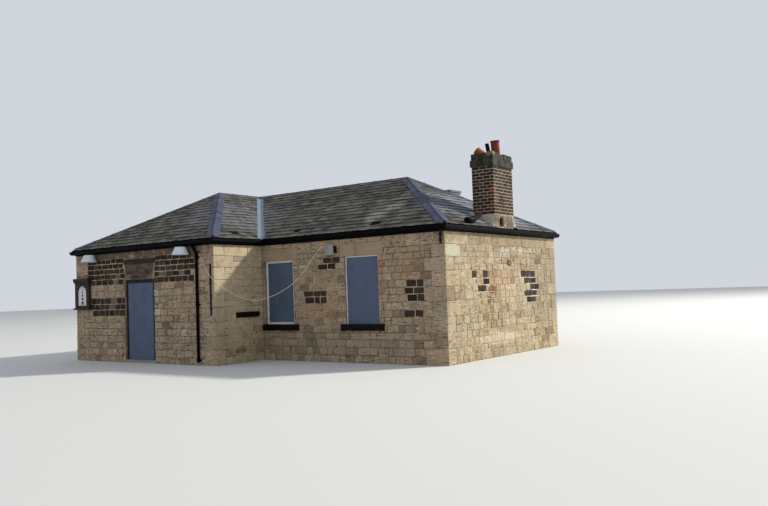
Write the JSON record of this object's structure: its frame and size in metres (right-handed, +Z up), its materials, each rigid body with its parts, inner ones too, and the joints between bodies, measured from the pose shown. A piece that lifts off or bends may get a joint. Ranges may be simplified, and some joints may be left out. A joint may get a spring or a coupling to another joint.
{
  "type": "railway station building",
  "caption": "Single-storey stone railway station building on an L-shaped plan, with hipped slate roofs, an end chimney, sheeted doors and windows and a slung cable.",
  "frame": {"origin": "middle of the footprint at ground level, on the underside of the floor", "axes": "+X along the main front towards the chimney end, -Y out of the main front and the wing's front, +Z up"},
  "size_m": [12.73, 8.7699, 5.9305],
  "materials": {
    "front_stone": "weathered",
    "side_stone": "weathered",
    "dressed_stone": "tooled",
    "black_stone": "painted, worn",
    "brown_stone": "weathered",
    "floor_stone": "worn",
    "slate": "weathered",
    "roof_tile": "matte",
    "lead": "dull",
    "black_paint": "worn gloss",
    "black_timber": "worn paint",
    "frame_timber": "old paint",
    "door_timber": "old paint",
    "steel_sheet": "flat",
    "brick": "matte",
    "cap_stone": "mossy",
    "terracotta": "matte",
    "mortar": "rough",
    "render": "rendered",
    "sign_timber": "weathered paint",
    "sign_enamel": "gloss",
    "shade_enamel": "gloss",
    "iron": "rusted",
    "box_plastic": "weathered",
    "cable_sheath": "matte"
  },
  "bodies": {
    "root": {"front_wall": "front_stone", "end_wall": "side_stone", "back_wall": "front_stone", "left_wall": "front_stone", "wing_front_wall": "front_stone", "wing_side_wall": "side_stone", "floor": "floor_stone", "main_front_slope": "slate", "end_slope": "slate", "back_slope": "slate", "left_slope": "slate", "wing_front_slope": "slate", "wing_side_slope": "slate", "ridge_tiles": "roof_tile", "hip_tiles": "roof_tile", "valley_lead": "lead", "fascia_boards": "black_timber", "gutters": "black_paint", "window_sills": "black_stone", "window_lintels": "dressed_stone", "window_frames": "frame_timber", "window_boards": "steel_sheet", "old_sill": "black_stone", "door_steps": "floor_stone", "door_frames": "door_timber", "door_boards": "steel_sheet", "door_infill": "dressed_stone", "door_lintels": "brown_stone", "chimney_base": "side_stone", "chimney_stack": "brick", "chimney_cap": "cap_stone", "chimney_pots": "terracotta", "flue_stub": "iron", "chimney_flashing": "mortar", "rear_stack": "render", "rear_stack_cap": "mortar", "fallen_elbow": "iron", "sign_case": "sign_timber", "sign_panel": "sign_enamel", "lamp_shades": "shade_enamel", "lamp_brackets": "iron", "downpipe": "black_paint", "conduit": "iron", "pipe_stub": "iron", "junction_box": "box_plastic", "cable_clip": "iron", "cable": "cable_sheath"}
  },
  "joints": []
}
